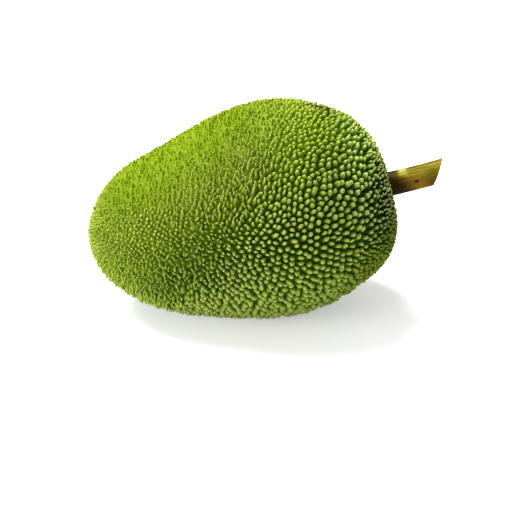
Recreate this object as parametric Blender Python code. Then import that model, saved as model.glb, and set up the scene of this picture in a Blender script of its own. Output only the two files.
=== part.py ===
"""A whole jackfruit lying on its side, with the short cut stalk that it hung from.

Metres, +Z up. The fruit's long axis runs along X, with the stalk at +X, and the origin is under
the middle of the whole thing's box, on the surface that it lies on.
"""

import math
import random

import bmesh
import bpy
import numpy as np
from mathutils import Matrix, Vector

# The fruit, measured over the tips of its spines and in its own frame: x runs from the blossom
# end to the stalk end, with 0 half way. The shares are of the half length.
HALF_LENGTH = 0.149
SMALL_HALF_WIDTH = 0.0939  # of the rounded blossom end
SWELL = 0.0192  # added towards the stalk, where the fruit is thickest
SWELL_FROM, SWELL_TO = -0.425, 0.555
BLUNT, BLUNT_POWER = 0.0456, 5.5  # squares off the stalk end
SLANT = 0.0086  # how far that end's underside reaches past its middle
DIMPLE_DEPTH, DIMPLE_WIDTH = 0.003, 0.2  # round the stalk
HOLLOW_DEPTH, HOLLOW_AT, HOLLOW_TURN = 0.038, -0.446, math.radians(64)  # on the slender half
HOLLOW_REACH, HOLLOW_SPAN = 0.23, 0.9  # along the fruit and, in radians, round it
LUMPS = 0.0064, 0.011, 0.0023  # how far the sides wander from round, as shares of the width

# Its lie: the big end lifts the stalk end of the axis, and the underside is pressed flat.
TILT = math.radians(12.6)
FLAT_SPOT_DEPTH = 0.0004  # into the valleys between the spines

# The spines, which close up and shorten towards the blossom end and beside the stalk.
FINE_PITCH, COARSE_PITCH = 0.0078, 0.0125
SHORT_SPINE, TALL_SPINE = 0.0040, 0.0068
LEAN = 0.16  # of each tip towards the blossom end, as a share of the pitch
SPINE_JITTER = 0.10  # sideways, as a share of the pitch
HEIGHT_JITTER = 0.12
EVENING_ROUNDS, EVENING_STRENGTH = 12, 0.15
SEED = 7

# The stalk: straight in its socket, then bent a little upwards, and cut on the slant. Its own
# frame stands in the middle of the socket's floor, with z along the stalk and x underneath it.
STALK_ROOT_X = HALF_LENGTH - 0.0175
STALK_RISE = math.radians(1.8)  # from the fruit's axis
SOCKET_DEPTH = 0.0185
STALK_ROOT_RADIUS, STALK_END_RADIUS = 0.0110, 0.0114
STALK_LENGTH = 0.050  # past the socket, along the bend, to the furthest lip of the cut
STALK_BEND = math.radians(4)
STALK_SIDES = 24
STALK_RINGS = 9
RIB = 0.025  # of the three low ribs, as a share of the radius
CUT_SLANT = math.radians(35)
CUT_BACK = 0.0085  # from the furthest lip to the middle of the cut
GAP = 0.0003

GOLDEN_ANGLE = math.pi * (3 - math.sqrt(5))
HEXAGON_AREA = math.sqrt(3) / 2  # of a spine's cell, for a pitch of 1
PROFILE_STEPS = 4000


def smoothstep(low, high, value):
    share = np.clip((value - low) / (high - low), 0, 1)
    return share * share * (3 - 2 * share)


def half_width(s):
    """The width that a round section would have with no taper, at the share s of the half length."""
    swollen = SWELL * smoothstep(SWELL_FROM, SWELL_TO, s)
    return SMALL_HALF_WIDTH + swollen + BLUNT * np.maximum(s, 0) ** BLUNT_POWER


def envelope(directions):
    """Where the tips of the spines lie, for unit directions from the fruit's middle, by rows."""
    s, y, z = directions.T
    turn = np.arctan2(z, y)
    from_hollow = (turn - HOLLOW_TURN + math.pi) % (2 * math.pi) - math.pi
    near_hollow = ((s - HOLLOW_AT) / HOLLOW_REACH) ** 2 + (from_hollow / HOLLOW_SPAN) ** 2
    lumps = (
        LUMPS[0] * np.cos(2 * turn + 0.7 + 1.6 * s)
        + LUMPS[1] * np.cos(3 * turn - 1.1 - 2.3 * s)
        + LUMPS[2] * np.sin(5 * s + turn)
    )
    shape = 1 + lumps * (1 - s * s) - HOLLOW_DEPTH * np.exp(-near_hollow)
    width = half_width(s) * shape
    dimple = DIMPLE_DEPTH * np.exp(-(y * y + z * z) / DIMPLE_WIDTH**2)
    slanted = SLANT * z * np.maximum(s, 0) ** 2
    x = HALF_LENGTH * s - slanted - np.where(s > 0, dimple, 0)
    return np.column_stack((x, width * y, width * z))


def coarseness(s):
    """0 where the spines are finest, at the blossom end, and 1 where they are coarsest."""
    return smoothstep(-0.95, 0.15, s)


def spine_height(s):
    beside_stalk = 1 - 0.45 * smoothstep(0.95, 1.0, s)
    return (SHORT_SPINE + (TALL_SPINE - SHORT_SPINE) * coarseness(s)) * beside_stalk


def spine_pitch(s):
    return FINE_PITCH + (COARSE_PITCH - FINE_PITCH) * coarseness(s)


def spiral_directions():
    """A golden spiral from end to end, wound closer where the pitch is finer, and jittered."""
    s = (np.arange(PROFILE_STEPS) + 0.5) / PROFILE_STEPS * 2 - 1
    radius = half_width(s) * np.sqrt(1 - s * s)
    slant = np.hypot(HALF_LENGTH, np.gradient(radius, s))
    ring_area = 2 * math.pi * radius * slant * 2 / PROFILE_STEPS
    spines_so_far = np.cumsum(ring_area / (HEXAGON_AREA * spine_pitch(s) ** 2))
    count = int(spines_so_far[-1])
    stations = np.interp((np.arange(count) + 0.5) / count * spines_so_far[-1], spines_so_far, s)
    rings = np.sqrt(1 - stations**2)
    turns = np.arange(count) * GOLDEN_ANGLE
    directions = np.column_stack((stations, rings * np.cos(turns), rings * np.sin(turns)))
    draw = random.Random(SEED)
    nudges = np.array([draw.gauss(0, SPINE_JITTER) for _ in range(3 * count)]).reshape(-1, 3)
    directions += nudges * (spine_pitch(stations) / half_width(stations))[:, None]
    return directions / np.linalg.norm(directions, axis=1)[:, None]


def hull_of(directions):
    bm = bmesh.new()
    for direction in directions:
        bm.verts.new(direction)
    bmesh.ops.convex_hull(bm, input=bm.verts[:])
    bm.verts.index_update()
    return bm


def evened(directions):
    """Neighbouring spines push or pull each other until they stand about one pitch apart."""
    for _ in range(EVENING_ROUNDS):
        bm = hull_of(directions)
        links = np.array([[end.index for end in edge.verts] for edge in bm.edges])
        bm.free()
        tips = envelope(directions)
        across = tips[links[:, 1]] - tips[links[:, 0]]
        distance = np.linalg.norm(across, axis=1)
        wanted = spine_pitch(directions[links, 0].mean(axis=1))
        push = across * (EVENING_STRENGTH * (wanted / distance - 1))[:, None]
        moves = np.zeros_like(tips)
        np.add.at(moves, links[:, 1], push)
        np.add.at(moves, links[:, 0], -push)
        widths = half_width(directions[:, 0])
        directions = directions + moves / np.column_stack((widths * 0 + HALF_LENGTH, widths, widths))
        directions /= np.linalg.norm(directions, axis=1)[:, None]
    return directions


def material(name, colour, roughness):
    made = bpy.data.materials.new(name)
    made.use_nodes = True
    shader = made.node_tree.nodes["Principled BSDF"]
    shader.inputs["Base Color"].default_value = (*colour, 1)
    shader.inputs["Roughness"].default_value = roughness
    shader.inputs["Metallic"].default_value = 0
    made.diffuse_color = (*colour, 1)
    return made


def add_object(name, bm, parent=None, finish=None):
    mesh = bpy.data.meshes.new(name)
    bm.to_mesh(mesh)
    bm.free()
    obj = bpy.data.objects.new(name, mesh)
    bpy.context.scene.collection.objects.link(obj)
    obj.parent = parent
    if finish:
        mesh.materials.append(finish)
    return obj


def add_cutter(name, bm, parent=None):
    cutter = add_object(name, bm, parent)
    cutter.hide_render = True
    cutter.display_type = "WIRE"
    return cutter


def cut(obj, cutter):
    boolean = obj.modifiers.new(cutter.name, "BOOLEAN")
    boolean.operation = "DIFFERENCE"
    boolean.solver = "EXACT"
    boolean.object = cutter


def build_fruit(parent):
    """Each spine is a pyramid on its own cell of the rind, with its foot along the valleys round it.

    Returns the fruit and the height of its lowest valley, as it lies.
    """
    directions = evened(spiral_directions())
    bm = hull_of(directions)
    for tip, place in zip(bm.verts, envelope(directions)):
        tip.co = place
    bmesh.ops.recalc_face_normals(bm, faces=bm.faces[:])
    tips, links = bm.verts[:], bm.edges[:]
    valleys = bmesh.ops.poke(bm, faces=bm.faces[:])["verts"]
    bm.normal_update()
    outward = {vertex: vertex.normal.copy() for vertex in bm.verts}
    # A link from tip to tip turns into the stretch of valley that parts them.
    bmesh.ops.rotate_edges(bm, edges=links, use_ccw=False)
    for valley in valleys:
        valley.co -= outward[valley] * float(spine_height(valley.co.x / HALF_LENGTH))
    draw = random.Random(SEED + 1)
    for tip in tips:
        s = tip.co.x / HALF_LENGTH
        short_by = HEIGHT_JITTER * draw.random()
        to_blossom = Vector((-1, 0, 0))
        to_blossom -= outward[tip] * outward[tip].dot(to_blossom)
        tip.co -= outward[tip] * float(spine_height(s) * short_by)
        tip.co += to_blossom * float(LEAN * spine_pitch(s))
    lie = Matrix.Rotation(-TILT, 3, "Y")
    lowest_valley = min((lie @ valley.co).z for valley in valleys)
    rind = material("rind", (0.24, 0.38, 0.035), 0.5)
    return add_object("fruit", bm, parent, rind), lowest_valley


def in_stalk_frame():
    return Matrix.Translation((STALK_ROOT_X, 0, 0)) @ Matrix.Rotation(
        math.pi / 2 - STALK_RISE, 4, "Y"
    )


def socket_cutter(parent):
    bm = bmesh.new()
    depth = SOCKET_DEPTH + 2 * GAP
    bmesh.ops.create_cone(
        bm,
        cap_ends=True,
        segments=STALK_SIDES,
        radius1=STALK_ROOT_RADIUS + GAP,
        radius2=STALK_ROOT_RADIUS + GAP,
        depth=depth,
        matrix=in_stalk_frame() @ Matrix.Translation((0, 0, depth / 2 - GAP)),
    )
    return add_cutter("socket", bm, parent)


def surface_cutter():
    """A slab whose top is the surface that the fruit lies on: it presses the lowest spines flat."""
    side, depth = 4 * HALF_LENGTH, HALF_LENGTH
    bm = bmesh.new()
    bmesh.ops.create_cube(bm, size=1, matrix=Matrix.Diagonal((side, side, depth, 1)))
    bmesh.ops.translate(bm, verts=bm.verts[:], vec=(0, 0, -depth / 2))
    return add_cutter("surface", bm)


def along_stalk(run):
    """The stalk's own matrix at a distance past the socket's mouth."""
    angle = STALK_BEND * max(run, 0) / STALK_LENGTH
    radius = STALK_LENGTH / STALK_BEND
    x = -radius * (1 - math.cos(angle))
    z = SOCKET_DEPTH + min(run, 0) + radius * math.sin(angle)
    return Matrix.Translation((x, 0, z)) @ Matrix.Rotation(-angle, 4, "Y")


def build_stalk(parent):
    bm = bmesh.new()
    rings = []
    runs = [-SOCKET_DEPTH] + [STALK_LENGTH * i / (STALK_RINGS - 2) for i in range(STALK_RINGS - 1)]
    for run in runs:
        grown = max(run, 0) / STALK_LENGTH
        radius = STALK_ROOT_RADIUS + (STALK_END_RADIUS - STALK_ROOT_RADIUS) * grown
        ring = []
        for side in range(STALK_SIDES):
            turn = 2 * math.pi * side / STALK_SIDES
            reach = radius * (1 + RIB * grown * math.cos(3 * turn + 0.5))
            across = Vector((reach * math.cos(turn), reach * math.sin(turn), 0))
            ring.append(bm.verts.new(along_stalk(run) @ across))
        rings.append(ring)
    for near, far in zip(rings, rings[1:]):
        for side in range(STALK_SIDES):
            following = (side + 1) % STALK_SIDES
            bm.faces.new((near[side], near[following], far[following], far[side]))
    bm.faces.new(rings[0])
    bm.faces.new(rings[-1])
    cut_place = along_stalk(STALK_LENGTH - CUT_BACK) @ Matrix.Rotation(CUT_SLANT, 4, "Y")
    halved = bmesh.ops.bisect_plane(
        bm,
        geom=bm.verts[:] + bm.edges[:] + bm.faces[:],
        plane_co=cut_place.translation,
        plane_no=cut_place.col[2].xyz,
        clear_outer=True,
    )
    rim = [item for item in halved["geom_cut"] if isinstance(item, bmesh.types.BMEdge)]
    bmesh.ops.contextual_create(bm, geom=rim)
    bmesh.ops.transform(bm, matrix=in_stalk_frame(), verts=bm.verts[:])
    bmesh.ops.recalc_face_normals(bm, faces=bm.faces[:])
    bark = material("bark", (0.33, 0.24, 0.05), 0.65)
    stalk = add_object("stalk", bm, parent, bark)
    stalk.data.shade_smooth()
    stalk.data.set_sharp_from_angle(angle=math.radians(40))
    return stalk


def shown_box(objects):
    """Lowest and highest corner of the finished objects, in world space."""
    bpy.context.view_layer.update()
    graph = bpy.context.evaluated_depsgraph_get()
    corners = []
    for obj in objects:
        finished = obj.evaluated_get(graph)
        corners += [finished.matrix_world @ vertex.co for vertex in finished.data.vertices]
    points = np.array(corners)
    return points.min(axis=0), points.max(axis=0)


def main():
    for obj in list(bpy.data.objects):
        bpy.data.objects.remove(obj)
    lie = bpy.data.objects.new("lie", None)
    bpy.context.scene.collection.objects.link(lie)
    lie.rotation_euler = (0, -TILT, 0)
    fruit, lowest_valley = build_fruit(lie)
    lie.location.z = -lowest_valley - FLAT_SPOT_DEPTH
    cut(fruit, socket_cutter(lie))
    cut(fruit, surface_cutter())
    stalk = build_stalk(lie)
    low, high = shown_box([fruit, stalk])
    lie.location.x = -(low[0] + high[0]) / 2
    lie.location.y = -(low[1] + high[1]) / 2
    bpy.context.view_layer.update()


main()
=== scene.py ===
# A whole jackfruit lying on its side, in its rind of blunt spines, with the cut stub of its stalk.
# Metres, +Z up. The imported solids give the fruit's place, and the three pieces here stand for them.
import math

import bmesh
import bpy
import numpy as np
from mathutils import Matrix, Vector


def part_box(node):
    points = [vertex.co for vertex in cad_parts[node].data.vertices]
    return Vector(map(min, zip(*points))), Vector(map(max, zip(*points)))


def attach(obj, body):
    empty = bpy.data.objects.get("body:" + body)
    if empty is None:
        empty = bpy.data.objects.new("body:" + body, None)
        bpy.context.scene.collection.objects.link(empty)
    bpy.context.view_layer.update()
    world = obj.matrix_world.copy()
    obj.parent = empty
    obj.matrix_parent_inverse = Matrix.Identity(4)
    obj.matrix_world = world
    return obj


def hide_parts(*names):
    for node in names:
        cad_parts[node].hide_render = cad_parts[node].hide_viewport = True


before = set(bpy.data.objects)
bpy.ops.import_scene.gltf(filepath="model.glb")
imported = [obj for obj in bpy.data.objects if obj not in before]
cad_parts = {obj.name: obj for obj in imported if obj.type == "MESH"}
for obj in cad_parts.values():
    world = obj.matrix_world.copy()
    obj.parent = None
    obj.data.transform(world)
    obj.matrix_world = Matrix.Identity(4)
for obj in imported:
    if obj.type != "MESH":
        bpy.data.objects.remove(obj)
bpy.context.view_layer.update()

# The fruit's outline over the tips of its spines, the same as the solids' own, in its own frame,
# where x runs from the blossom end to the stalk end. Places along it go from -1 to 1.
fruit = {
    "halfLength": 0.149,
    "smallHalfWidth": 0.0939,  # of the rounded blossom end
    "swell": 0.0192,  # added towards the stalk, where the fruit is thickest
    "swellOver": (-0.425, 0.555),
    "blunt": 0.0456,  # squares off the stalk end
    "bluntPower": 5.5,
    "slant": 0.0086,  # how far that end's underside reaches past its middle
    "dimpleDepth": 0.003,  # round the stalk
    "dimpleWidth": 0.2,
    "hollowDepth": 0.038,  # on the slender half, as a share of the width
    "hollowAt": -0.446,
    "hollowTurn": math.radians(64),
    "hollowReach": 0.23,  # along the fruit
    "hollowSpan": 0.9,  # round it
    # low lumps: share of the width, waves round the fruit, turned by, twisted along it by
    "twoLumps": (0.0064, 2, 0.7, 1.6),
    "threeLumps": (0.011, 3, -1.1, -2.3),
    "windingLump": (0.0023, 5),  # share of the width, twisted along it by
    "tilt": math.radians(12.6),
}


def smoothstep(low, high, value):
    # 0 below low, 1 above high, and 3t^2 - 2t^3 between them
    share = np.clip((value - low) / (high - low), 0, 1)
    return share * share * (3 - 2 * share)


def unit(vectors):
    # each row over its own length
    return vectors / np.linalg.norm(vectors, axis=-1, keepdims=True)


def halfWidth(s):
    # the small end's width, plus a smooth step at the swell, plus a high power of s at the stalk
    swollen = fruit["smallHalfWidth"] + fruit["swell"] * smoothstep(*fruit["swellOver"], s)
    return swollen + fruit["blunt"] * np.maximum(s, 0) ** fruit["bluntPower"]


def lump(name, s, turn):
    # a cosine round the fruit, twisted along it
    depth, waves, turned, twist = fruit[name]
    return depth * np.cos(waves * turn + turned + twist * s)


def envelope(directions):
    # A unit sphere's points, stretched to the half length along x and to halfWidth across, less a
    # hollow on the slender half, give or take low lumps, with the stalk end slanted and dimpled.
    s, y, z = directions.T
    turn = np.arctan2(z, y)
    fromHollow = (turn - fruit["hollowTurn"] + math.pi) % (2 * math.pi) - math.pi
    nearHollow = ((s - fruit["hollowAt"]) / fruit["hollowReach"]) ** 2
    nearHollow = nearHollow + (fromHollow / fruit["hollowSpan"]) ** 2
    depth, twist = fruit["windingLump"]
    lumps = lump("twoLumps", s, turn) + lump("threeLumps", s, turn)
    lumps = lumps + depth * np.sin(twist * s + turn)
    width = halfWidth(s) * (1 + lumps * (1 - s * s) - fruit["hollowDepth"] * np.exp(-nearHollow))
    dimple = fruit["dimpleDepth"] * np.exp(-(y * y + z * z) / fruit["dimpleWidth"] ** 2)
    slanted = fruit["slant"] * z * np.maximum(s, 0) ** 2
    x = fruit["halfLength"] * s - slanted - np.where(s > 0, dimple, 0)
    return np.column_stack((x, width * y, width * z))


def outwardNormals(directions, step=0.002):
    # the cross product of two short chords of the envelope, turned outwards
    aside = np.where(np.abs(directions[:, :1]) < 0.7, [[1.0, 0, 0]], [[0, 1.0, 0]])
    first = unit(np.cross(directions, aside))
    second = np.cross(directions, first)
    chords = [
        envelope(unit(directions + step * way)) - envelope(unit(directions - step * way))
        for way in (first, second)
    ]
    normals = unit(np.cross(*chords))
    return normals * np.sign((normals * directions).sum(axis=1, keepdims=True))


def turnedAboutY(points, angle):
    # x' = x cos a + z sin a, z' = z cos a - x sin a
    cosine, sine = math.cos(angle), math.sin(angle)
    x, y, z = points[..., 0], points[..., 1], points[..., 2]
    return np.stack((x * cosine + z * sine, y, z * cosine - x * sine), axis=-1)


def asItLies(points):
    # turned by the tilt, then moved to its place
    return turnedAboutY(points, -fruit["tilt"]) + middle


def meshFrom(name, points, quads, triangles, attributes):
    # whole arrays of corners straight into a mesh: quads first, then triangles
    mesh = bpy.data.meshes.new(name)
    corners = np.concatenate((quads.ravel(), triangles.ravel())).astype(np.int32)
    sizes = np.concatenate((np.full(len(quads), 4), np.full(len(triangles), 3))).astype(np.int32)
    starts = np.concatenate(([0], np.cumsum(sizes)[:-1])).astype(np.int32)
    mesh.vertices.add(len(points))
    mesh.vertices.foreach_set("co", points.astype(np.float32).ravel())
    mesh.loops.add(len(corners))
    mesh.loops.foreach_set("vertex_index", corners)
    mesh.polygons.add(len(sizes))
    mesh.polygons.foreach_set("loop_start", starts)
    mesh.polygons.foreach_set("use_smooth", np.ones(len(sizes), bool))
    mesh.update(calc_edges=True)
    mesh.validate()
    for title, values in attributes.items():
        kind, field = ("FLOAT_VECTOR", "vector") if values.ndim == 2 else ("FLOAT", "value")
        layer = mesh.attributes.new(title, kind, "POINT")
        layer.data.foreach_set(field, values.astype(np.float32).ravel())
    piece = bpy.data.objects.new(name, mesh)
    bpy.context.scene.collection.objects.link(piece)
    return piece


# The rind. Pairs named over, up, down or along are where something begins and where it is whole,
# along the fruit from -1 at the blossom end to 1 at the stalk, or upwards from -1 to 1. The pairs
# marked slender, broad are one value for the slender spines and one for the broad ones.
spines = {
    "finePitch": 0.0044,
    "coarsePitch": 0.0073,
    "coarserOver": (-0.60, 0.60),
    "finerOnTop": 0.80,  # how much further along that happens on top than at the sides
    "coarserBelow": -0.50,  # the height below which they grow no coarser
    "finerAtStalk": 0.80,
    "atStalkOver": (0.84, 0.97),
    "finerLowDown": 0.75,
    "lowDownAlong": (0.62, 0.82),
    "lowDownDown": (-0.05, -0.28),
    "shortHeight": 0.0038,
    "tallHeight": 0.0070,
    "tallerOver": (-1.05, -0.20),
    "shorterOnTop": 0.25,
    "onTopUp": (0.45, 0.80),
    "onTopAlong": (-0.10, 0.40),
    "shorterLowDown": 0.22,
    "shorterAtStalk": 0.35,
    "shorterOver": (0.96, 1.0),
    "shortBy": (0.38, 0.27),  # slender, broad: single spines, at most, as a share of the height
    "shortPower": 1.5,  # how few of them are that short
    "jitter": 0.14,  # sideways, as a share of the pitch, before the evening
    "lateJitter": (0.13, 0.085),  # slender, broad: the same after it
    "wildest": 1.7,  # random numbers that are normal keep within this
    "usualReach": 0.56,  # of a spine's cell from its middle, as a share of its pitch
    "widest": 1.1,  # at most, as a share of that
    "alike": 0.55,  # how far the spines' widths keep to that, rather than to their own cells
    "oval": 0.12,  # how far a spine is longer one way than the other
    "leanUp": (0.80, 0.42),  # slender, broad: sideways reach of a tip, as a share of its height
    "leanUpAtStalk": 0.22,
    "leanEndsOver": (0.62, 0.97),
    "leanEndsSooner": 0.15,  # above the fruit's middle
    "soonerUp": (0.0, 0.40),
    "uprightOver": (-0.10, 0.55),  # where that lean sets in: upwards, plus the next share of along
    "uprightSlope": 0.6,
    "leanToStalk": (0.20, 0.14),  # slender, broad
    "leanTurnsUp": (0.45, 0.85),  # higher than this they lean to the blossom end instead
    "leanOffTheEnd": 0.45,
    "offTheEndOver": (-0.25, -0.85),
    "leanJitter": (0.28, 0.12),  # slender, broad
    "unrulyAtStalk": 0.16,
    "unrulyOver": (0.80, 0.92),
    # (share of the radius, share of the height, how round) of each ring from the valley upwards
    "slender": ((0.58, 0.28, 0.5), (0.38, 0.68, 0.9), (0.18, 0.96, 1.0)),
    "broad": ((0.71, 0.40, 0.4), (0.54, 0.80, 0.8), (0.37, 0.97, 0.9)),
    "broaderOver": (-0.35, 0.06),
    "slenderOnTop": 0.68,  # how much further along that happens on top
    "slimAtStalk": 0.9,
    "slimOver": (0.79, 0.93),
    "knobbly": 0.07,  # how uneven the rings' corners stand, as a share of their height
    "sunkWithin": (0.0006, -0.0022),  # of the stalk's radius, where the rind sinks under it
    "sunkDepth": 0.012,
    "spiralSteps": 600,
    "spiralAround": 180,
    "eveningRounds": 14,
    "eveningStrength": 0.16,
    "halvesMeetAt": -0.12,
    "seed": 7,
}


def countedLessOnTop(directions, name):
    # how far along the fruit, less a share of the height
    return directions[:, 0] - spines[name] * np.maximum(directions[:, 2], spines["coarserBelow"])


def lowAtStalk(directions):
    # 1 low down on the stalk end, where the spines are fine and short
    along = smoothstep(*spines["lowDownAlong"], directions[:, 0])
    return along * smoothstep(*spines["lowDownDown"], directions[:, 2])


def spinePitch(directions):
    # from fine to coarse by a smooth step along the fruit, and part of the way back at the stalk
    coarse = smoothstep(*spines["coarserOver"], countedLessOnTop(directions, "finerOnTop"))
    coarse *= 1 - spines["finerLowDown"] * lowAtStalk(directions)
    coarse *= 1 - spines["finerAtStalk"] * smoothstep(*spines["atStalkOver"], directions[:, 0])
    return spines["finePitch"] + (spines["coarsePitch"] - spines["finePitch"]) * coarse


def spineHeight(directions):
    # from short to tall by a smooth step along, times three factors: on top, low down, at the stalk
    s, z = directions[:, 0], directions[:, 2]
    taller = smoothstep(*spines["tallerOver"], countedLessOnTop(directions, "finerOnTop"))
    grown = spines["shortHeight"] + (spines["tallHeight"] - spines["shortHeight"]) * taller
    onTop = smoothstep(*spines["onTopUp"], z) * smoothstep(*spines["onTopAlong"], s)
    grown = grown * (1 - spines["shorterOnTop"] * onTop)
    grown = grown * (1 - spines["shorterLowDown"] * lowAtStalk(directions))
    return grown * (1 - spines["shorterAtStalk"] * smoothstep(*spines["shorterOver"], s))


def broadness(directions):
    # 1 where the spines are broad and even, 0 where they are slender and unruly
    return smoothstep(*spines["broaderOver"], countedLessOnTop(directions, "slenderOnTop"))


def byBreadth(name, broad):
    # between the slender spines' value and the broad ones'
    slender, blunt = spines[name]
    return slender + (blunt - slender) * broad


def drawn(draw, count):
    # normal random numbers, three for each spine, the far ones pulled in
    return np.clip(draw.normal(0, 1, (count, 3)), -spines["wildest"], spines["wildest"])


def jittered(directions, draw, share):
    # each moved aside by a share of its pitch
    nudge = share * spinePitch(directions) / halfWidth(directions[:, 0])
    return unit(directions + drawn(draw, len(directions)) * nudge[:, None])


def spiralDirections(draw):
    # A golden spiral from end to end. Each spine is further on than the last by the same share of
    # all the cells, and further round by the golden share of the cells in its own ring.
    steps, around = spines["spiralSteps"], spines["spiralAround"]
    s = (np.arange(steps) + 0.5) / steps * 2 - 1
    turn = (np.arange(around) + 0.5) / around * 2 * math.pi
    across = np.sqrt(1 - s * s)
    grid = (s[:, None] + 0 * turn, np.outer(across, np.cos(turn)), np.outer(across, np.sin(turn)))
    pitch = spinePitch(np.stack(grid).reshape(3, -1).T)
    crowd = (2 / math.sqrt(3) / pitch**2).reshape(steps, around)  # one spine per hexagonal cell
    radius = halfWidth(s) * across
    slant = np.hypot(fruit["halfLength"], np.gradient(radius, s))
    soFar = np.cumsum(crowd.mean(axis=1) * 2 * math.pi * radius * slant * 2 / steps)
    count = int(soFar[-1])
    stations = np.interp((np.arange(count) + 0.5) / count * soFar[-1], soFar, s)
    row = np.minimum((stations + 1) / 2 * steps, steps - 1).astype(int)
    before = np.cumsum(crowd[row], axis=1) / crowd[row].sum(axis=1, keepdims=True)
    golden = np.arange(count) * (3 - math.sqrt(5)) / 2 % 1
    column = (before < golden[:, None]).sum(axis=1)
    step = crowd[row, column] / crowd[row].sum(axis=1)
    turns = (column + 1 - (before[np.arange(count), column] - golden) / step) / around * 2 * math.pi
    rings = np.sqrt(1 - stations**2)
    directions = np.column_stack((stations, rings * np.cos(turns), rings * np.sin(turns)))
    return jittered(directions, draw, spines["jitter"])


def hullTriangles(directions):
    # the corners of the convex hull's triangles, each counted anticlockwise from outside
    mesh = bpy.data.meshes.new("hull")
    mesh.from_pydata(directions.tolist(), [], [])
    bm = bmesh.new()
    bm.from_mesh(mesh)
    bmesh.ops.convex_hull(bm, input=bm.verts[:])
    bmesh.ops.triangulate(bm, faces=bm.faces[:])
    bm.to_mesh(mesh)
    bm.free()
    corners = np.empty(len(mesh.loops), np.int32)
    mesh.loops.foreach_get("vertex_index", corners)
    bpy.data.meshes.remove(mesh)
    triangles = corners.reshape(-1, 3)
    a, b, c = (directions[triangles[:, i]] for i in range(3))
    inward = (np.cross(b - a, c - a) * a).sum(axis=1) < 0
    triangles[inward] = triangles[inward][:, ::-1]
    return triangles


def evened(directions):
    # Neighbours push or pull each other along the line between them until they are one pitch apart.
    for _ in range(spines["eveningRounds"]):
        triangles = hullTriangles(directions)
        links = np.concatenate((triangles[:, :2], triangles[:, 1:], triangles[:, ::2]))
        links = np.unique(np.sort(links, axis=1), axis=0)
        tips = envelope(directions)
        across = tips[links[:, 1]] - tips[links[:, 0]]
        distance = np.linalg.norm(across, axis=1)
        wanted = spinePitch(directions[links].mean(axis=1))
        push = across * (spines["eveningStrength"] * (wanted / distance - 1))[:, None]
        moves = np.zeros_like(tips)
        np.add.at(moves, links[:, 1], push)
        np.add.at(moves, links[:, 0], -push)
        moves[:, 0] /= fruit["halfLength"]
        moves[:, 1:] /= halfWidth(directions[:, 0])[:, None]
        directions = unit(directions + moves)
    return directions


def alongSkin(vectors, normals):
    # what is left of each without its part along the normal
    return vectors - normals * (vectors * normals).sum(axis=1, keepdims=True)


def leanOf(directions, normals, broad, draw):
    # How far the tips lean over the skin, as a share of their height: upwards, but little beside
    # the stalk and low down, plus towards the stalk, or the other way on top, plus a bit astray.
    s, z = directions[:, 0], directions[:, 2]
    up = turnedAboutY(np.array([[0, 0, 1.0]]), fruit["tilt"])[0]
    atStalk = s + spines["leanEndsSooner"] * smoothstep(*spines["soonerUp"], z)
    atStalk = smoothstep(*spines["leanEndsOver"], atStalk)
    upwards = byBreadth("leanUp", broad) * (1 - atStalk) + spines["leanUpAtStalk"] * atStalk
    upwards = upwards * smoothstep(*spines["uprightOver"], z + spines["uprightSlope"] * s)
    forwards = byBreadth("leanToStalk", broad) * (1 - 2 * smoothstep(*spines["leanTurnsUp"], z))
    forwards = forwards + spines["leanOffTheEnd"] * smoothstep(*spines["offTheEndOver"], s)
    lean = upwards[:, None] * up + forwards[:, None] * np.array([1.0, 0, 0])
    astray = byBreadth("leanJitter", broad)
    astray = astray + spines["unrulyAtStalk"] * smoothstep(*spines["unrulyOver"], s)
    return alongSkin(lean + drawn(draw, len(s)) * astray[:, None], normals)


def spokesOf(directions, normals, foot, valley, triangles, draw):
    # For each corner of each triangle: the way over the skin from the spine's foot to the valley
    # point, stretched along the spine's own long way, how far that point is, and how far the cell
    # reaches on average, kept near the usual reach.
    site = triangles.ravel()
    count = len(directions)
    spoke = alongSkin(np.repeat(valley, 3, axis=0) - foot[site], normals[site])
    reach = np.linalg.norm(spoke, axis=1)
    roundReach = np.bincount(site, reach, count) / np.bincount(site, minlength=count)
    usual = spines["usualReach"] * spinePitch(directions)
    roundReach = roundReach * (1 - spines["alike"]) + usual * spines["alike"]
    roundReach = np.minimum(roundReach, spines["widest"] * usual)
    spoke = spoke / reach[:, None]
    longWay = unit(alongSkin(draw.normal(0, 1, (count, 3)), normals))[site]
    alongLong = (spoke * longWay).sum(axis=1, keepdims=True)
    spoke = spoke * (1 - spines["oval"]) + longWay * alongLong * 2 * spines["oval"]
    return spoke, reach, roundReach[site]


def skinOf(triangles, count, tiers):
    # For every edge of a triangle, a quad from ring to ring and a triangle at the tip. The points
    # are the valleys, then each ring's corners, then the tips. An edge is also the edge of a second
    # triangle, its twin, where it is counted the other way round.
    faces = len(triangles)
    start, end = triangles.ravel(), np.roll(triangles, -1, axis=1).ravel()
    forward = start.astype(np.int64) * count + end
    backward = end.astype(np.int64) * count + start
    order = np.argsort(forward)
    twin = order[np.searchsorted(forward[order], backward)]
    here = np.arange(3 * faces)
    there = twin // 3 * 3 + (twin % 3 + 1) % 3  # the same spine's corner in the second triangle
    outer = [here // 3] + [faces + tier * 3 * faces + here for tier in range(tiers)]
    other = [there // 3] + [faces + tier * 3 * faces + there for tier in range(tiers)]
    quads = [
        np.column_stack((other[tier], outer[tier], outer[tier + 1], other[tier + 1]))
        for tier in range(tiers)
    ]
    tops = np.column_stack((other[-1], outer[-1], faces + tiers * 3 * faces + start))
    return start, end, quads, tops


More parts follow.
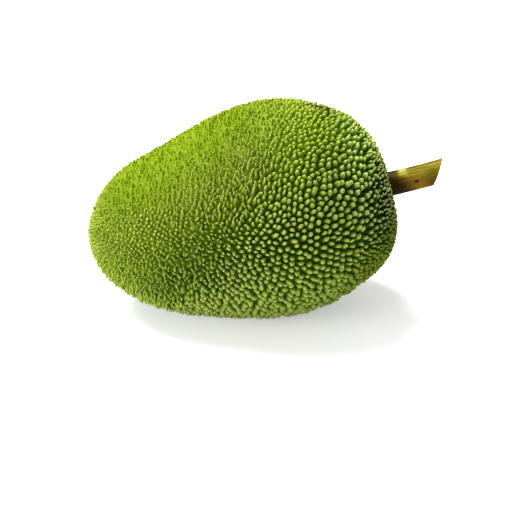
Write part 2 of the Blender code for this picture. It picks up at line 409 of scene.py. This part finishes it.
def halvesOf(nearStalk, points, attributes, start, end, quads, tops):
    # Two halves that meet in a ring of valleys, each closed inside the fruit by a fan of triangles.
    # There a valley keeps the normal it has on the whole rind, the mean of its six quads'.
    low = points[quads[0]]
    quadNormal = unit(np.cross(low[:, 2] - low[:, 0], low[:, 3] - low[:, 1]))
    valleyNormal = np.zeros_like(points)
    for corner in (0, 1):
        np.add.at(valleyNormal, quads[0][:, corner], quadNormal)
    pieces = []
    for name, mine in (("blossom_end_rind", ~nearStalk), ("stalk_end_rind", nearStalk)):
        rim = quads[0][mine[start] & ~mine[end]][:, 1::-1]
        fan = np.column_stack((rim, np.full(len(rim), len(points) - 1)))
        myQuads = np.concatenate([tier[mine[start]] for tier in quads])
        myTriangles = np.concatenate((tops[mine[start]], fan))
        used, corners = np.unique(
            np.concatenate((myQuads.ravel(), myTriangles.ravel())), return_inverse=True
        )
        myQuads, myTriangles = np.split(corners, [myQuads.size])
        myQuads, myTriangles = myQuads.reshape(-1, 4), myTriangles.reshape(-1, 3)
        print(name, mine.sum(), "spines", 2 * len(myQuads) + len(myTriangles), "triangles")
        myAttributes = {title: values[used] for title, values in attributes.items()}
        piece = meshFrom(name, points[used], myQuads, myTriangles, myAttributes)
        normals = np.zeros((len(used), 3))  # nothing set keeps the mesh's own
        atRim = np.isin(used, rim)
        normals[atRim] = unit(valleyNormal[used[atRim]])
        piece.data.normals_split_custom_set_from_vertices(normals)
        pieces.append(piece)
    return pieces


def makeRind():
    # Every triangle of neighbouring spines has a valley point in its middle, and a spine's cell is
    # the ring of valley points round it. Rings of the same corners climb from it to the tip, drawn
    # in by the ring's share of the radius, rounded towards a circle, and leant over with height.
    draw = np.random.default_rng(spines["seed"])
    directions = evened(spiralDirections(draw))
    directions = jittered(directions, draw, byBreadth("lateJitter", broadness(directions)))
    triangles = hullTriangles(directions)
    count, faces, tiers = len(directions), len(triangles), len(spines["broad"])
    site = triangles.ravel()

    normals = outwardNormals(directions)
    fullHeight = spineHeight(directions)
    broad = broadness(directions)
    foot = envelope(directions) - normals * fullHeight[:, None]
    lost = byBreadth("shortBy", broad) * draw.random(count) ** spines["shortPower"]
    height = fullHeight * (1 - lost)
    valleyDirection = unit(directions[triangles].sum(axis=1))
    valley = envelope(valleyDirection)
    valley -= outwardNormals(valleyDirection) * spineHeight(valleyDirection)[:, None]
    climbing = normals + leanOf(directions, normals, broad, draw)
    spoke, reach, roundReach = spokesOf(directions, normals, foot, valley, triangles, draw)

    # the spines round the stalk are pointed again
    broad = broad * (1 - spines["slimAtStalk"] * smoothstep(*spines["slimOver"], directions[:, 0]))
    siteBroad = broad[site]
    layers, rises = [valley], [np.zeros(faces)]
    for slim, wide in zip(spines["slender"], spines["broad"]):
        radiusShare, heightShare, roundness = (
            (1 - siteBroad) * a + siteBroad * b for a, b in zip(slim, wide)
        )
        drawnIn = reach * (1 - roundness) + roundReach * roundness
        ring = foot[site] + spoke * (drawnIn * radiusShare)[:, None]
        climb = height[site] * heightShare * (1 + draw.normal(0, spines["knobbly"], 3 * faces))
        layers.append(ring + climbing[site] * climb[:, None])
        rises.append(heightShare)
    points = np.concatenate(layers + [foot + climbing * height[:, None]])

    # under the stalk the rind sinks, so that no spine stands in the wood
    fromAxis = np.hypot(points[:, 1], points[:, 2])
    sunk = smoothstep(*(stalk["rootRadius"] + past for past in spines["sunkWithin"]), fromAxis)
    points[:, 0] -= np.where(points[:, 0] > 0, spines["sunkDepth"] * sunk, 0)
    points = asItLies(points)
    points[:, 2] = np.maximum(points[:, 2], 0)

    # what the material reads: how far up its spine a point is, the spine's own tone, how broad it
    # is, and its direction from the fruit's middle. The last point is the middle itself.
    tone = draw.random(count)
    valleyBroad = siteBroad.reshape(-1, 3).mean(axis=1)
    spot = [valleyDirection] + [directions[site]] * tiers + [directions, [[0, 0, 0]]]
    attributes = {
        "rise": np.concatenate(rises + [np.ones(count), [0.5]]),
        "tone": np.concatenate([np.full(faces, 0.5)] + [tone[site]] * tiers + [tone, [0.5]]),
        "broad": np.concatenate([valleyBroad] + [siteBroad] * tiers + [broad, [0.5]]),
        "spot": np.concatenate(spot),
    }
    nearStalk = directions[:, 0] > spines["halvesMeetAt"]
    skin = skinOf(triangles, count, tiers)
    return halvesOf(nearStalk, np.vstack((points, middle)), attributes, *skin)


# The stalk. Its own frame stands in the middle of its root, with z along it and x underneath it.
stalk = {
    "rootX": 0.149 - 0.0175,
    "rise": math.radians(1.8),  # from the fruit's axis
    "socketDepth": 0.0185,
    "rootShare": 0.9,  # of the socket that the wood reaches down
    "rootRadius": 0.0110,
    "endRadius": 0.0114,
    "length": 0.050,
    "bend": math.radians(4),
    "ribs": 3,
    "ribHeight": 0.025,  # as a share of the radius
    "ribTurn": 0.5,
    "fibres": ((0.006, 17, 3), (0.004, 31, -5)),  # share of the radius, how many, twisted by
    "fibresWithin": 0.004,  # of the rind they fade out
    "thickerRoot": 0.06,
    "cutSlant": math.radians(33.5),
    "cutTurn": math.radians(15),  # from straight below towards the front
    "cutBack": 0.0085,  # from the furthest lip to the middle of the cut
    "around": 144,
    "along": 110,
    "capRings": 16,
}


def fruitPlace():
    # Where the fruit's own middle lies: the socket's floor is the lowest ring of the stalk's solid,
    # a circle square to the stalk, so its centre is one radius, turned, from the solid's corner.
    low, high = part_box("stalk")
    steep = fruit["tilt"] + stalk["rise"]
    rootX = low.x + stalk["rootRadius"] * math.sin(steep)
    rootZ = low.z + stalk["rootRadius"] * math.cos(steep)
    fromMiddle = turnedAboutY(np.array([[stalk["rootX"], 0, 0]]), -fruit["tilt"])[0]
    return np.array([rootX, (low.y + high.y) / 2, rootZ]) - fromMiddle


def closedTube(name, rows, attributes):
    # A grid of closed rings. The first and the last ring shrink to one pole each.
    tiers, around = rows.shape[:2]
    index = np.arange(tiers * around).reshape(tiers, around)
    following = np.roll(index, -1, axis=1)
    quads = np.stack((index[:-1], following[:-1], following[1:], index[1:]), axis=-1).reshape(-1, 4)
    first, last = tiers * around, tiers * around + 1
    start = np.column_stack((following[0], index[0], np.full(around, first)))
    end = np.column_stack((index[-1], following[-1], np.full(around, last)))

    def withPoles(values):
        # one row for each point, then the mean of the first ring and that of the last
        poles = [ring.mean(axis=1).reshape(1, -1) for ring in (values[:1], values[-1:])]
        return np.concatenate((values.reshape(tiers * around, -1), *poles)).squeeze()

    padded = {title: withPoles(values) for title, values in attributes.items()}
    return meshFrom(name, withPoles(rows), quads, np.concatenate((start, end)), padded)


def alongStalk(run, across):
    # A cross-section's point, carried along the stalk: straight in the socket, then round an arc.
    angle = stalk["bend"] * np.maximum(run, 0) / stalk["length"]
    radius = stalk["length"] / stalk["bend"]
    x = across[..., 0] * np.cos(angle) - radius * (1 - np.cos(angle))
    z = across[..., 0] * np.sin(angle) + stalk["socketDepth"] + np.minimum(run, 0)
    z = z + radius * np.sin(angle)
    return np.stack((x, across[..., 1], z), axis=-1)


def makeStalk():
    # A round bar whose radius carries ribs and fibres along it, and whose far ring lies on the cut.
    turn = np.linspace(0, 2 * math.pi, stalk["around"], endpoint=False)[None, :]
    share = np.linspace(0, 1, stalk["along"])[:, None]
    slanted = stalk["endRadius"] * np.cos(turn + stalk["cutTurn"]) * math.tan(stalk["cutSlant"])
    lip = stalk["length"] - stalk["cutBack"] - slanted
    root = -stalk["rootShare"] * stalk["socketDepth"]
    run = root + (lip - root) * share
    grown = np.clip(run / stalk["length"], 0, 1)
    radius = stalk["rootRadius"] + (stalk["endRadius"] - stalk["rootRadius"]) * grown
    ribs = stalk["ribHeight"] * grown * np.cos(stalk["ribs"] * turn + stalk["ribTurn"])
    fibres = sum(
        depth * np.sin(many * turn + twist * share) for depth, many, twist in stalk["fibres"]
    )
    radius = radius * (1 + stalk["thickerRoot"] * (1 - grown) ** 2)
    radius = radius * (1 + ribs + fibres * np.clip(run / stalk["fibresWithin"], 0, 1))
    wall = alongStalk(run, np.stack((radius * np.cos(turn), radius * np.sin(turn)), axis=-1))
    rim = wall[-1:]
    inwards = np.linspace(0, 1, stalk["capRings"] + 1)[1:-1, None, None]
    face = rim + (rim.mean(axis=1, keepdims=True) - rim) * inwards
    rows = turnedAboutY(np.concatenate((wall, face)), math.pi / 2 - stalk["rise"])
    rows = asItLies(rows + np.array([stalk["rootX"], 0, 0]))
    # what the material reads: how far inwards on the cut, and the turn and the run of each point
    inner = np.concatenate((np.zeros(stalk["along"]), inwards.ravel()))[:, None] + 0 * turn
    capRuns = np.repeat(run[-1:], stalk["capRings"] - 1, axis=0)
    runs = np.concatenate((run, capRuns)) / stalk["length"]
    grain = np.stack((np.cos(turn) + 0 * runs, np.sin(turn) + 0 * runs, runs), axis=-1)
    print("stalk rings", rows.shape)
    return closedTube("cut_stalk", rows, {"inner": inner, "grain": grain})


class Wire:
    # One output socket of a material's tree. + - * ** on it add Math nodes, node() adds any other,
    # and the rest are the nodes used most, by a shorter name.
    def __init__(self, tree, socket=None):
        self.tree = tree
        self.socket = socket

    def node(self, kind, settings, sockets, output=0):
        # a new node, its sockets set to plain values or joined to other wires
        made = self.tree.nodes.new(kind)
        for key, value in settings.items():
            setattr(made, key, value)
        for key, value in sockets.items():
            if isinstance(value, Wire):
                self.tree.links.new(value.socket, made.inputs[key])
            else:
                made.inputs[key].default_value = value
        return Wire(self.tree, made.outputs[output])

    def maths(self, operation, first, second):
        # one Math node on two values
        return self.node("ShaderNodeMath", {"operation": operation}, {0: first, 1: second})

    def __add__(self, other):
        return self.maths("ADD", self, other)

    def __radd__(self, other):
        return self.maths("ADD", other, self)

    def __sub__(self, other):
        return self.maths("SUBTRACT", self, other)

    def __rsub__(self, other):
        return self.maths("SUBTRACT", other, self)

    def __mul__(self, other):
        return self.maths("MULTIPLY", self, other)

    def __rmul__(self, other):
        return self.maths("MULTIPLY", other, self)

    def __pow__(self, other):
        return self.maths("POWER", self, other)

    def between(self, low, high):
        # 0 below low, 1 above high, smooth between them
        return self.node(
            "ShaderNodeMapRange",
            {"interpolation_type": "SMOOTHSTEP"},
            {"Value": self, "From Min": low, "From Max": high},
        )

    def tint(self, first, second):
        # a mix of two colours by this value, where a plain colour becomes an opaque one
        sockets = {0: self}
        for place, colour in ((6, first), (7, second)):
            sockets[place] = colour if isinstance(colour, Wire) else (*colour, 1)
        return self.node("ShaderNodeMix", {"data_type": "RGBA"}, sockets, 2)

    def vector(self, operation, others, output=0):
        # Vector Math on this vector or colour
        sockets = {0: self, **others}
        return self.node("ShaderNodeVectorMath", {"operation": operation}, sockets, output)

    def part(self, axis):
        # one coordinate of this vector
        return self.node("ShaderNodeSeparateXYZ", {}, {"Vector": self}, axis)

    def noise(self, scale, detail):
        # a cloudy value at this position
        sockets = {"Vector": self, "Scale": scale, "Detail": detail}
        return self.node("ShaderNodeTexNoise", {}, sockets, "Fac")

    def attribute(self, name, output="Fac"):
        # what the mesh carries under this name
        return self.node("ShaderNodeAttribute", {"attribute_name": name}, {}, output)


def newMaterial(name, roughness, specular):
    # A material with only its Principled shader, whose steady values go on its own sockets.
    material = bpy.data.materials.new(name)
    material.use_nodes = True
    shader = material.node_tree.nodes["Principled BSDF"]
    shader.inputs["Roughness"].default_value = roughness
    shader.inputs["Specular IOR Level"].default_value = specular
    return material, shader, Wire(material.node_tree)


def join(wire, shader, socket):
    # into one of the shader's sockets
    wire.tree.links.new(wire.socket, shader.inputs[socket])


def grainy(start, shader, look, heights, rough):
    # relief from the heights, and a roughness of its first number plus its second by rough
    bump = {"Strength": look["bumpStrength"], "Distance": look["bumpDepth"], "Height": heights}
    join(start.node("ShaderNodeBump", {}, bump), shader, "Normal")
    join(look["roughness"][0] + look["roughness"][1] * rough, shader, "Roughness")


# The rind's finish. Pairs are zones, 0 at the first number and 1 at the second: Along the fruit
# from -1 to 1, Up or Down it from -1 to 1, or From, up a spine from 0 to 1.
rindLook = {
    "specular": 0.045,
    "roughness": (0.46, 0.25),
    "bumpStrength": 0.40,
    "bumpDepth": 0.0004,
    "patches": (22.0, 3.0),  # how fine and how detailed
    "fine": (900.0, 4.0),
    "ragged": 0.18,  # how uneven the edges between a spine's colours are
    # from the valleys up, on the stalk half; the valleys' near-black is painted shade
    "valley": (0.0185, 0.0450, 0.0015),
    "flank": (0.124, 0.214, 0.0066),
    "leafTip": (0.184, 0.280, 0.014),
    "tip": (0.212, 0.285, 0.056),
    # the palest top of the broad spines, partly their own paler colour and partly a painted highlight
    "crown": (0.232, 0.265, 0.062),
    "root": (0.27, 0.75),
    "tipFrom": (0.62, 0.96),
    "crownFrom": (0.965, 1.02),
    "stalkTipsAlong": (0.0, 0.65),
    # towards the blossom end and on top, sunny: yellower, partly the rind's own colour and partly
    # painted light, with painted light in its valleys; and paler straw down the side
    "sunnyValley": (0.064, 0.112, 0.0009),
    "sunnyFlank": (0.128, 0.188, 0.0016),
    "sunnyTip": (0.108, 0.150, 0.0020),
    "strawValley": (0.064, 0.106, 0.0010),
    "strawFlank": (0.150, 0.200, 0.0110),
    "strawTip": (0.205, 0.246, 0.054),
    "sunnyRoot": (0.04, 0.40),
    "sunnier": (0.25, -1.60),  # along, less shares of the height and the end, give or take patches
    "sunnierUp": 1.8,
    "sunnierEnd": 0.4,
    "sunnyEndAlong": (0.0, -0.8),
    "sunnyPatches": 0.6,
    "paler": (-0.96, -0.68),  # down, plus a share of along, give or take patches
    "farDown": (-0.48, -0.08),
    "palerAlong": 0.4,
    "palePatches": 0.25,
    # tips that have turned tan, by the spine's own tone
    "tan": (0.26, 0.22, 0.060),
    "tanTones": (0.72, 0.95),
    "tanPatches": 0.5,
    "tanShare": 0.5,
    # painted light and shade: lighter on the even ridge, on the low blossom end and above the stalk;
    # darker on the upper corner towards the stalk, in the middle of the front and beside the stalk
    "ridgeUp": (0.50, 0.78),
    "ridgeAlong": (0.10, 0.45),
    "lowEndAlong": (-0.45, -0.75),
    "lowEndDown": (0.20, -0.10),
    "besideAlong": (0.68, 0.90),
    "besideDown": (0.34, 0.16),
    "besideUp": (-0.30, -0.05),
    "besideRoot": (0.92, 0.55),
    "aboveAlong": (0.72, 0.88),
    "aboveUp": (0.26, 0.42),
    "cornerAlong": (0.50, 0.78),
    "cornerUp": (0.36, 0.60),
    # painted shade in the valleys there
    "frontShade": (0.18, -0.67, 0.72),  # the middle of the front
    "frontShadeWithin": (0.45, 0.12),
    # how much painted light and shade each puts on the valleys and the spines, lighter or darker
    "valleyLight": {"ridge": 0.45, "lowEnd": 0.2, "above": 0.4, "frontShade": 0.30, "beside": 0.45},
    "spineLight": {"ridge": 0.08, "lowEnd": 0.2, "beside": 0.17, "corner": 0.18},
    # a ring round the stalk, from its own height upwards: valleys in painted deep shade, tips with a
    # painted pale highlight
    "ringAlong": (0.68, 0.88),
    "ringUp": (-0.12, 0.04),
    "ringDown": (0.62, 0.40),
    "ringShade": (0.007, 0.014, 0.0008),
    "ringShadeAlong": (0.86, 0.98),
    "paleHighlight": (1.45, 1.40, 2.10),
    "paleHighlightFrom": (0.5, 0.9),
    # painted highlights on some tips of the last few rings of spines
    "lastHighlight": (0.50, 0.57, 0.17),
    "lastAlong": (0.86, 0.95),
    "lastUp": (-0.15, 0.05),
    "lastFrom": (0.75, 0.95),
    "lastTones": (0.30, 0.80),
    "lastShare": 0.6,
    # painted shade low down round the stalk, which multiplies the rind's colour darker there
    "lowShade": (0.54, 0.56, 0.17),
    "lowShadeAlong": (0.70, 0.98),  # less the height by its share
    "lowShadeSlope": 0.5,
    "lowShadeDown": (-0.06, -0.26),
    # old bruises: where and how wide, and how their dark blots and tan rims spread
    "brown": (0.018, 0.008, 0.002),
    "bruises": (((0.66, 0.15, 0.735), 0.15), ((0.97, -0.22, -0.03), 0.08)),
    "blots": (170.0, 1.0),
    "blotted": (0.44, 0.53),
    "bruiseWithin": (1.0, 0.6),
    "bruiseSinks": 0.12,
    "bruiseShare": 0.94,
    "rimWithin": (1.3, 0.8),
    "rimFrom": (0.6, 0.9),
    "rimShare": 0.3,
}


def bruised(colour, spot, rise, climbed, blots):
    # dark blots within each bruise, on a faint tan ground
    for centre, reach in rindLook["bruises"]:
        far = spot.vector("DISTANCE", {1: centre}, "Value")
        ground = far.between(*(reach * share for share in rindLook["rimWithin"]))
        ground = ground * climbed.between(*rindLook["rimFrom"]) * rindLook["rimShare"]
        colour = ground.tint(colour, rindLook["tan"])
        blot = (blots - (rise - 0.5) * rindLook["bruiseSinks"]).between(*rindLook["blotted"])
        blot = far.between(*(reach * share for share in rindLook["bruiseWithin"])) * blot
        colour = (blot * rindLook["bruiseShare"]).tint(colour, rindLook["brown"])
    return colour


def rindMaterial():
    # Valleys, flanks and tips each have a colour mixed from zones of the fruit, and a spine goes
    # from one to the next as it climbs; the dark valleys are painted shade. The places that differ,
    # most of them painted light and shade, are mixed in after that.
    look = rindLook
    material, shader, start = newMaterial("spiny_green_rind", 0.5, look["specular"])
    place = start.node("ShaderNodeTexCoord", {}, {}, "Object")
    rise, tone, broad = (start.attribute(name) for name in ("rise", "tone", "broad"))
    spot = start.attribute("spot", "Vector")
    along, up = spot.part("X"), spot.part("Z")
    patches = place.noise(*look["patches"]) - 0.5
    fine = place.noise(*look["fine"])
    climbed = rise + (fine - 0.5) * look["ragged"]

    # yellow-green towards the blossom end and on top, partly the rind's own colour and partly painted
    # light; paler down the side; dark towards the stalk
    end = along.between(*look["sunnyEndAlong"]) * look["sunnierEnd"]
    sunny = along - up * look["sunnierUp"] - end + patches * look["sunnyPatches"]
    sunny = sunny.between(*look["sunnier"])
    lower = along * look["palerAlong"] - up + patches * look["palePatches"]
    farDown, pale = lower.between(*look["farDown"]), lower.between(*look["paler"])
    valley = sunny.tint(look["valley"], pale.tint(look["sunnyValley"], look["strawValley"]))
    flank = sunny.tint(look["flank"], pale.tint(look["sunnyFlank"], look["strawFlank"]))
    tip = pale.tint(look["sunnyTip"], look["strawTip"])
    stalkTip = farDown.tint(look["leafTip"], look["tip"])
    tip = along.between(*look["stalkTipsAlong"]).tint(tip, stalkTip)
    # the crown on the broad spines: partly their own paler tops, partly a painted highlight
    crown = (broad * farDown).tint(tip, look["crown"])
    tanned = (tone + patches * look["tanPatches"]).between(*look["tanTones"]) * look["tanShare"]
    crown = (tanned * broad).tint(crown, look["tan"])
    tip = climbed.between(*look["crownFrom"]).tint(tip, crown)
    colour = climbed.between(*look["tipFrom"]).tint(flank, tip)

    # painted light and shade: lighter and darker places
    ridge = up.between(*look["ridgeUp"]) * along.between(*look["ridgeAlong"])
    lowEnd = along.between(*look["lowEndAlong"]) * up.between(*look["lowEndDown"])
    above = along.between(*look["aboveAlong"]) * up.between(*look["aboveUp"])
    corner = along.between(*look["cornerAlong"]) * up.between(*look["cornerUp"])
    beside = along.between(*look["besideAlong"]) * up.between(*look["besideDown"])
    beside = beside * up.between(*look["besideUp"])
    frontShade = spot.vector("DISTANCE", {1: look["frontShade"]}, "Value").between(*look["frontShadeWithin"])
    by = look["valleyLight"]
    light = 1 + ridge * by["ridge"] + lowEnd * by["lowEnd"] + above * by["above"]
    light = light - frontShade * by["frontShade"] - beside * by["beside"]
    valley = valley.vector("SCALE", {"Scale": light})
    by = look["spineLight"]
    light = 1 - ridge * by["ridge"] + lowEnd * by["lowEnd"] - beside * by["beside"]
    colour = colour.vector("SCALE", {"Scale": light - corner * by["corner"]})

    # the spines' colour begins low down where it is sunny, and beside the stalk only near the tips;
    # below it lies the valleys' painted shade
    # painted deep shade in the valleys of the ring nearest the stalk
    ringed = along.between(*look["ringAlong"]) * up.between(*look["ringUp"])
    ringed = ringed * up.between(*look["ringDown"])
    valley = (ringed * along.between(*look["ringShadeAlong"])).tint(valley, look["ringShade"])
    coloured = sunny * climbed.between(*look["sunnyRoot"])
    coloured = coloured + (1 - sunny) * climbed.between(*look["root"])
    coloured = coloured * (1 - beside * climbed.between(*look["besideRoot"]))
    colour = coloured.tint(valley, colour)

    # painted shade low down round the stalk, painted pale highlights on the tips above, the last few
    # rings of spines most of all
    lowShaded = (along - up * look["lowShadeSlope"]).between(*look["lowShadeAlong"])
    lowShaded = lowShaded * up.between(*look["lowShadeDown"])
    colour = lowShaded.tint(colour, colour.vector("MULTIPLY", {1: look["lowShade"]}))
    # a painted pale highlight on the tips in that ring
    paleHighlighted = colour.vector("MULTIPLY", {1: look["paleHighlight"]})
    colour = (ringed * climbed.between(*look["paleHighlightFrom"])).tint(colour, paleHighlighted)
    # painted highlights on some tips of the last rings of spines
    last = along.between(*look["lastAlong"]) * up.between(*look["lastUp"])
    last = last * climbed.between(*look["lastFrom"]) * tone.between(*look["lastTones"])
    colour = (last * look["lastShare"]).tint(colour, look["lastHighlight"])
    colour = bruised(colour, spot, rise, climbed, place.noise(*look["blots"]))
    join(colour, shader, "Base Color")
    grainy(start, shader, look, fine, fine)
    return material


# The stalk's finish. Pairs are zones as on the rind: Along it from 0 at the rind to 1 at the cut,
# Below from -1 on top to 1 underneath, Aside from -1 in front to 1 at the back, or of a noise.
barkLook = {
    "specular": 0.03,
    "roughness": (0.5, 0.3),
    "bumpStrength": 0.5,
    "bumpDepth": 0.0006,
    "fineShare": 0.5,  # of the relief, beside the streaks
    "stretch": (5.0, 5.0, 1.2),  # of the fibres' pattern, which is finer round the stalk than along
    "streaks": (2.6, 5.0),  # how fine and how detailed
    "fine": (11.0, 3.0),
    "blotches": (3.0, 2.0),
    # the olive top, with a darker line along it, a painted highlight streak and painted shade at its
    # root by the rind
    "top": (0.076, 0.063, 0.0020),
    "topPale": (0.165, 0.140, 0.0080),
    "topStreaks": (0.42, 0.66),
    "topEdge": (0.036, 0.040, 0.003),
    "edgeAside": (-0.22, -0.02),
    "edgeFarAside": (0.60, 0.40),
    "edgeBelow": (-0.70, -0.86),
    "edgeBlotches": (0.30, 0.55),
    "end": (0.150, 0.092, 0.0070),
    "endAlong": (0.70, 1.15),
    "endRagged": 0.3,
    "endShare": 0.75,
    # a painted highlight streak along the top near the rind
    "glint": (0.34, 0.29, 0.045),
    "glintAlong": (0.08, 0.14),
    "glintEndsAlong": (0.32, 0.20),
    "glintBelow": (-0.68, -0.80),
    "glintStreaks": (0.30, 0.60),
    "glintShare": 0.8,
    # dark brown: painted shade on the top's root by the rind, and where the side starts at the rind
    "base": (0.016, 0.0085, 0.0010),
    "rootAlong": (0.12, 0.03),
    "rootShare": 0.7,
    # the brown side, dark at the rind, and darker again towards the cut with painted shade, more so
    # underneath
    "side": (0.195, 0.104, 0.0060),
    "brownAlong": (0.06, 0.50),
    "brownRagged": 0.24,
    "brownSlope": 0.12,
    "sideEnd": (0.058, 0.033, 0.0012),
    "sideEndAlong": (0.45, 0.74),
    "sideEndRagged": 0.2,
    "sideEndSlope": 0.10,
    # the line between top and side is crisp near the rind and blurs outwards
    "lineBelow": (-0.86, -0.74),
    "lineRagged": 0.12,
    "lineSlope": 0.30,
    "blurBelow": (-0.48, 0.40),
    "blurRagged": 0.30,
    "blurSlope": 0.10,
    "blurAlong": (0.15, 0.75),
    "streak": (0.050, 0.026, 0.004),
    "streakFine": (0.58, 0.74),
    "streakShare": 0.45,
    "knot": (0.018, 0.007, 0.002),
    "knotAt": (0.40, 0.16),  # along, above
    "knotFiner": (20.0, 6.5),  # one over its reach along, and over its reach round
    "knotWithin": (1.3, 0.35),
    "knotAside": (0.0, -0.3),
    "knotShare": 0.92,
    # the cut face
    "cut": (0.20, 0.135, 0.035),
    "cutRim": (0.060, 0.032, 0.008),
    "cutInner": (0.05, 0.30),
    "cutRagged": 0.3,
    "cutFrom": (0.0, 0.05),
}


def stalkMaterial():
    # the colours of the top and of the side, mixed by how far underneath a point is
    look = barkLook
    material, shader, start = newMaterial("fibrous_stalk", 0.6, look["specular"])
    grain = start.attribute("grain", "Vector")
    inner = start.attribute("inner")
    below, aside, along = (grain.part(axis) for axis in "XYZ")
    stretched = grain.vector("MULTIPLY", {1: look["stretch"]})
    streaks, fine = stretched.noise(*look["streaks"]), stretched.noise(*look["fine"])
    ragged = streaks - 0.5

    # the streaky top, with its darker line, its outer end, its painted highlight streak and the
    # painted shade at its root
    top = streaks.between(*look["topStreaks"]).tint(look["top"], look["topPale"])
    edge = aside.between(*look["edgeAside"]) * aside.between(*look["edgeFarAside"])
    edge = edge * below.between(*look["edgeBelow"])
    edge = edge * grain.noise(*look["blotches"]).between(*look["edgeBlotches"])
    top = edge.tint(top, look["topEdge"])
    end = (along + ragged * look["endRagged"]).between(*look["endAlong"]) * look["endShare"]
    top = end.tint(top, look["end"])
    glint = along.between(*look["glintAlong"]) * along.between(*look["glintEndsAlong"])
    glint = glint * below.between(*look["glintBelow"]) * streaks.between(*look["glintStreaks"])
    top = (glint * look["glintShare"]).tint(top, look["glint"])
    top = (along.between(*look["rootAlong"]) * look["rootShare"]).tint(top, look["base"])

    # the side, brown in the middle, with painted shade underneath towards the cut
    outermost = along + ragged * look["sideEndRagged"] + below * look["sideEndSlope"]
    side = outermost.between(*look["sideEndAlong"]).tint(look["side"], look["sideEnd"])
    browned = along + ragged * look["brownRagged"] - below * look["brownSlope"]
    side = browned.between(*look["brownAlong"]).tint(look["base"], side)

    # one over the other, and dark streaks on both
    line = below + ragged * look["lineRagged"] - along * look["lineSlope"]
    blur = below + ragged * look["blurRagged"] - along * look["blurSlope"]
    outer = along.between(*look["blurAlong"])
    sideways = outer * blur.between(*look["blurBelow"])
    sideways = sideways + (1 - outer) * line.between(*look["lineBelow"])
    colour = sideways.tint(top, side)
    colour = (fine.between(*look["streakFine"]) * look["streakShare"]).tint(colour, look["streak"])

    # a knot in front, and the cut face
    (knotAlong, knotAbove), (finerAlong, finerRound) = look["knotAt"], look["knotFiner"]
    fromKnot = ((along - knotAlong) * finerAlong) ** 2.0 + ((below + knotAbove) * finerRound) ** 2.0
    knot = fromKnot.between(*look["knotWithin"]) * aside.between(*look["knotAside"])
    colour = (knot * look["knotShare"]).tint(colour, look["knot"])
    cut = (inner + (fine - 0.5) * look["cutRagged"]).between(*look["cutInner"])
    colour = inner.between(*look["cutFrom"]).tint(colour, cut.tint(look["cutRim"], look["cut"]))
    join(colour, shader, "Base Color")
    grainy(start, shader, look, streaks + fine * look["fineShare"], fine)
    return material


def dress(piece, node, material):
    # its material, the body it rides on, and the node it stands for
    piece.data.materials.append(material)
    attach(piece, "root")
    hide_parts(node)


middle = fruitPlace()
print("fruit's middle at", middle.round(4))
rindSkin = rindMaterial()
for half in makeRind():
    dress(half, "fruit", rindSkin)
dress(makeStalk(), "stalk", stalkMaterial())
print("pieces made")

studio = {
    "floorHalf": 4.0,
    "floorColours": ((0.79, 0.79, 0.78), (0.81, 0.81, 0.80)),
    "floorMottle": (3.0, 2.0),  # how fine and how detailed
    "floorGlow": 0.38,
    "worldStrength": 0.66,
    # name, place, size, power, colour
    "lights": (
        ("key", (-0.60, 0.48, 1.50), 1.1, 114, (1.0, 0.99, 0.96)),
        ("side", (-1.50, -0.65, 0.30), 0.8, 32, (1.0, 1.0, 1.0)),
    ),
    "lightsAimAt": (0, 0, 0.08),
    "elevation": math.radians(27.3),
    "distance": 1.40,
    "lens": 103.1,
    "aimRight": math.radians(0.60),
    "aimDown": math.radians(1.57),
}


def floorMaterial():
    # matt and pale, and faintly lit from within, as a light table is, so that shadows stay weak
    material, shader, start = newMaterial("pale_floor", 0.9, 0.1)
    place = start.node("ShaderNodeTexCoord", {}, {}, "Object")
    join(place.noise(*studio["floorMottle"]).tint(*studio["floorColours"]), shader, "Base Color")
    shader.inputs["Emission Color"].default_value = (1, 1, 1, 1)
    shader.inputs["Emission Strength"].default_value = studio["floorGlow"]
    return material


def makeFloor():
    # one flat square at the height of the fruit's flat spot
    half = studio["floorHalf"]
    corners = np.array([[-half, -half, 0], [half, -half, 0], [half, half, 0], [-half, half, 0]])
    floor = meshFrom("floor", corners, np.array([[0, 1, 2, 3]]), np.empty((0, 3), int), {})
    floor.data.materials.append(floorMaterial())


def aim(thing, place, target):
    # put at its place, with its own -z towards the target and y upwards
    thing.location = place
    thing.rotation_euler = (Vector(target) - Vector(place)).to_track_quat("-Z", "Y").to_euler()


def addLight(name, place, size, power, colour):
    # a square area light, aimed at the fruit
    data = bpy.data.lights.new(name, "AREA")
    data.size = size
    data.energy = power
    data.color = colour
    light = bpy.data.objects.new(name, data)
    bpy.context.scene.collection.objects.link(light)
    aim(light, place, studio["lightsAimAt"])


def makeCamera():
    # Up and back from the fruit's middle, aimed a little past it, so that it sits left and high.
    up, back = math.sin(studio["elevation"]), math.cos(studio["elevation"])
    place = Vector(middle) + studio["distance"] * Vector((0, -back, up))
    data = bpy.data.cameras.new("camera")
    data.sensor_width = 36
    data.lens = studio["lens"]
    camera = bpy.data.objects.new("camera", data)
    bpy.context.scene.collection.objects.link(camera)
    sideways = studio["distance"] * math.tan(studio["aimRight"])
    lower = studio["distance"] * math.tan(studio["aimDown"])
    aim(camera, place, Vector(middle) + Vector((sideways, 0, 0)) - lower * Vector((0, up, back)))
    bpy.context.scene.camera = camera


def makeWorld():
    # the same white from all sides
    world = bpy.data.worlds.new("studio")
    world.use_nodes = True
    sky = world.node_tree.nodes["Background"]
    sky.inputs["Color"].default_value = (1, 1, 1, 1)
    sky.inputs["Strength"].default_value = studio["worldStrength"]
    bpy.context.scene.world = world


makeFloor()
makeWorld()
for light in studio["lights"]:
    addLight(*light)
makeCamera()
bpy.context.scene.view_settings.view_transform = "Standard"
print("studio ready")

bpy.context.view_layer.update()
